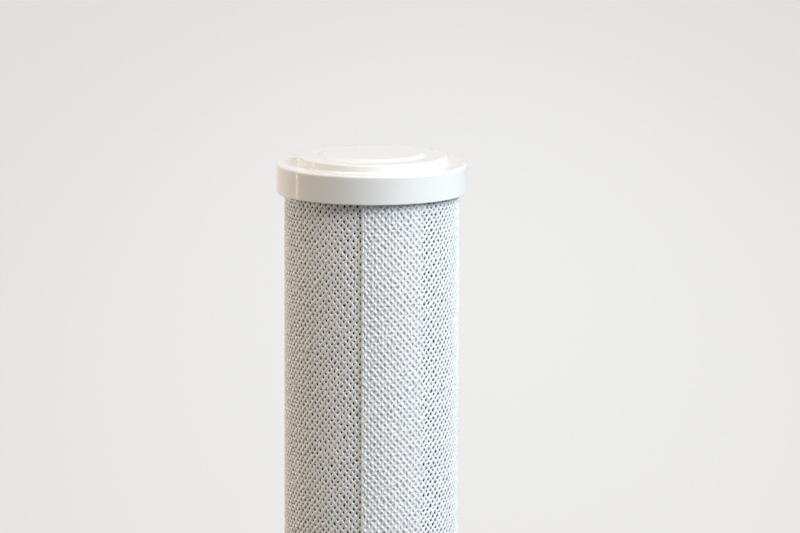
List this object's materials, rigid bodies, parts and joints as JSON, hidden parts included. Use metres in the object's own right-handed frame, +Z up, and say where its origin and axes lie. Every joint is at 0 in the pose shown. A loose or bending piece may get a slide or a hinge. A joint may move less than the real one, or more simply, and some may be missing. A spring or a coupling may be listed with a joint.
{
  "type": "carbon block filter cartridge",
  "caption": "Cylindrical drop-in water filter: a hollow carbon block in a lapped white net, with a closed stepped cap on top and an open outlet cap with a flat gasket below.",
  "frame": {"origin": "centre of the gasket's lower face, on which the cartridge stands", "axes": "+Z up the cartridge's axis from the open cap to the closed cap, -Y the front, where the net's overlap shows"},
  "size_m": [0.07, 0.07, 0.25],
  "materials": {
    "cap_plastic": "smooth moulded white polypropylene with a soft gloss",
    "gasket_rubber": "matte black rubber",
    "carbon": "grainy sintered black carbon",
    "hot_melt_glue": "waxy cream hot-melt glue",
    "net_plastic": "matte white plastic net"
  },
  "bodies": {
    "root": {"closed_end_cap": "cap_plastic", "open_end_cap": "cap_plastic", "outlet_gasket": "gasket_rubber", "carbon_block": "carbon", "open_end_glue": "hot_melt_glue", "closed_end_glue": "hot_melt_glue", "net_wrap": "net_plastic"}
  },
  "joints": []
}
